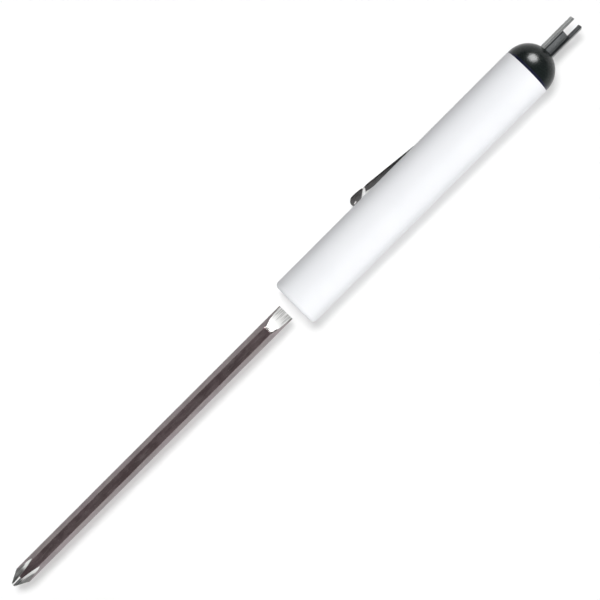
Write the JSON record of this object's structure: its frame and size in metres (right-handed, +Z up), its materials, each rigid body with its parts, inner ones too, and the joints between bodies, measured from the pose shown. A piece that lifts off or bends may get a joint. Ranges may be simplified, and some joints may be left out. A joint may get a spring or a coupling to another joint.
{
  "type": "pocket screwdriver",
  "caption": "Pocket screwdriver: white barrel, reversible Phillips and slotted hex blade drawn out of the nose, spring pocket clip, and a tyre valve-core fork in a black domed cap.",
  "frame": {"origin": "centre of the barrel's nose face, on the axis of the blade hole", "axes": "+X along the tool's axis from the blade to the valve fork, +Z up with the tool lying on its side, +Y to the side that the pocket clip is on"},
  "size_m": [0.186, 0.0146, 0.0126],
  "materials": {
    "barrel_white": "smooth moulded, semi-gloss",
    "socket_grey": "plain moulded",
    "spring_steel": "blued spring steel",
    "blade_steel": "nickel plated, ground tips",
    "dome_black": "polished",
    "fork_steel": "stamped, zinc grey",
    "clip_steel": "dark spring steel"
  },
  "bodies": {
    "handle": {"barrel": "barrel_white", "blade_socket": "socket_grey", "grip_spring": "spring_steel", "dome_cap": "dome_black", "valve_fork": "fork_steel"},
    "blade": {"blade": "blade_steel"},
    "clip": {"pocket_clip": "clip_steel"}
  },
  "joints": [
    {"name": "blade_slide", "type": "slide", "parent": "handle", "child": "blade", "axis": [1, 0, 0], "range_m": [0, 0.0382]},
    {"name": "clip_flex", "type": "hinge", "parent": "handle", "child": "clip", "pos_m": [0.07637, 0.00533, -0.00346], "axis": [0, -0.5446, -0.8387], "range_deg": [0, 2.5], "stiffness_Nm_per_rad": 1.5}
  ]
}
